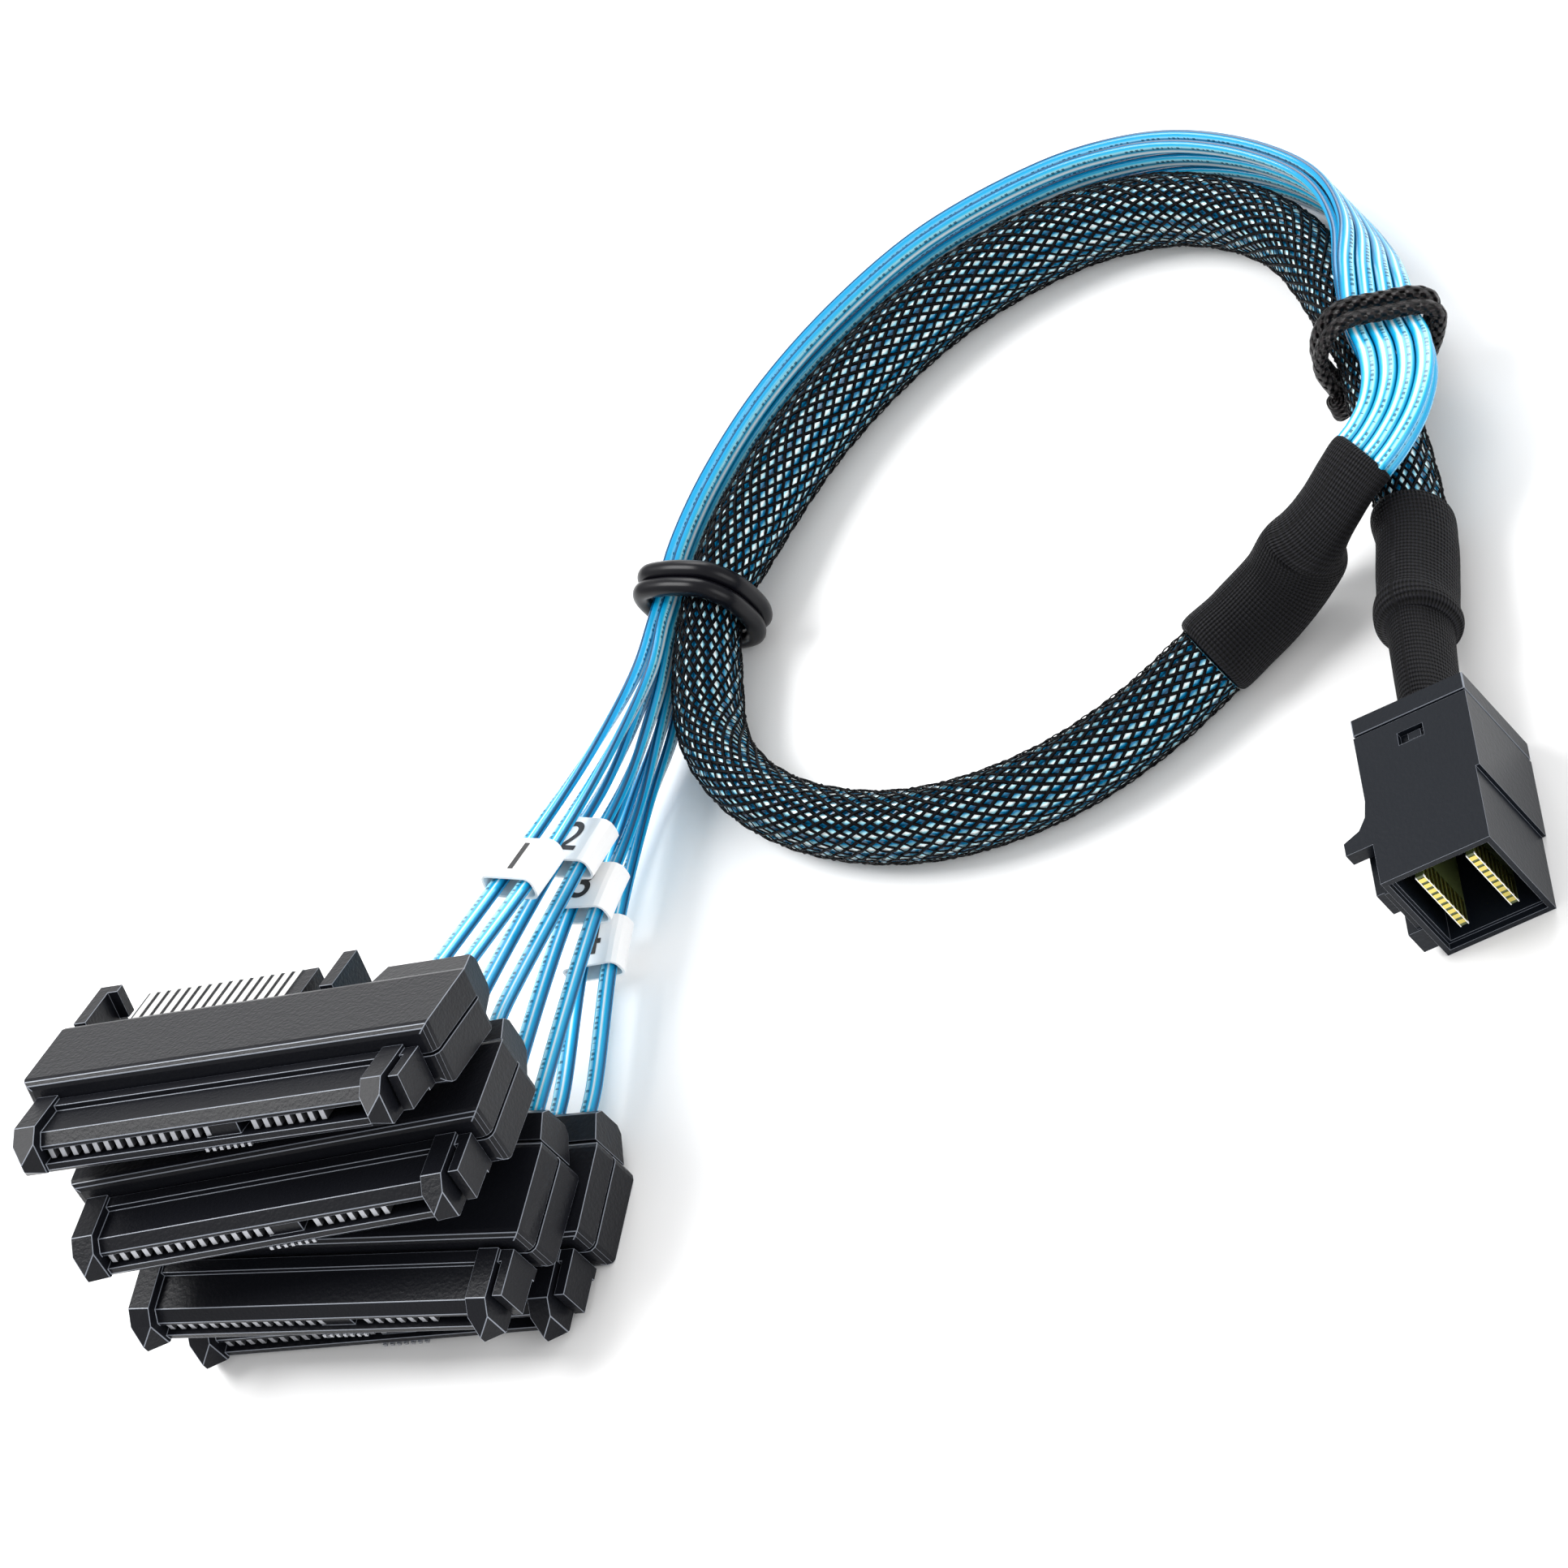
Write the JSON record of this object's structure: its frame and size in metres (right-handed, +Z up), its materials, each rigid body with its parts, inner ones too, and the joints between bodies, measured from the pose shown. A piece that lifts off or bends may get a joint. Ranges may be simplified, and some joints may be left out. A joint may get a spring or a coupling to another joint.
{
  "type": "breakout cable",
  "caption": "Storage breakout cable: a square plug, a braided loop held by ties, flat blue ribbons and drive connectors stacked at the other end.",
  "frame": {"origin": "middle of the footprint of the hard pieces (plug and drive connectors), on the plane they lie on", "axes": "+X from the drive connectors towards the plug, +Y from the plug's mouth back along its cable, +Z up from the surface it lies on"},
  "size_m": [0.15, 0.1077, 0.0329],
  "materials": {
    "housing": "black, fine leather grain",
    "card": "circuit board with gold pads",
    "weave": "black woven tape",
    "braid": "open black braid over blue ribbons",
    "ribbon": "clear blue over silver foil",
    "label": "white wrap label",
    "rubber": "smooth black",
    "cord": "black braided cord"
  },
  "bodies": {
    "root": {"plug_shell": "housing", "plug_cover": "housing", "plug_card_left": "card", "plug_card_right": "card", "plug_tape_narrow": "weave", "plug_tape_wide": "weave", "braided_sleeve": "braid", "fanout_tape": "weave", "cover_lower_1": "housing", "cover_upper_1": "housing", "drive_socket_1": "housing", "power_plug_1": "housing", "cable_block_1": "housing", "cover_lower_2": "housing", "cover_upper_2": "housing", "drive_socket_2": "housing", "power_plug_2": "housing", "cable_block_2": "housing", "cover_lower_3": "housing", "cover_upper_3": "housing", "drive_socket_3": "housing", "power_plug_3": "housing", "cable_block_3": "housing", "cover_lower_4": "housing", "cover_upper_4": "housing", "drive_socket_4": "housing", "power_plug_4": "housing", "cable_block_4": "housing", "ribbon_1_inner": "ribbon", "ribbon_1_outer": "ribbon", "ribbon_2_inner": "ribbon", "ribbon_2_outer": "ribbon", "ribbon_3_inner": "ribbon", "ribbon_3_outer": "ribbon", "ribbon_4_inner": "ribbon", "ribbon_4_outer": "ribbon", "label_1": "label", "label_2": "label", "label_3": "label", "label_4": "label", "rubber_tie": "rubber", "cord_tie": "cord"}
  },
  "joints": []
}
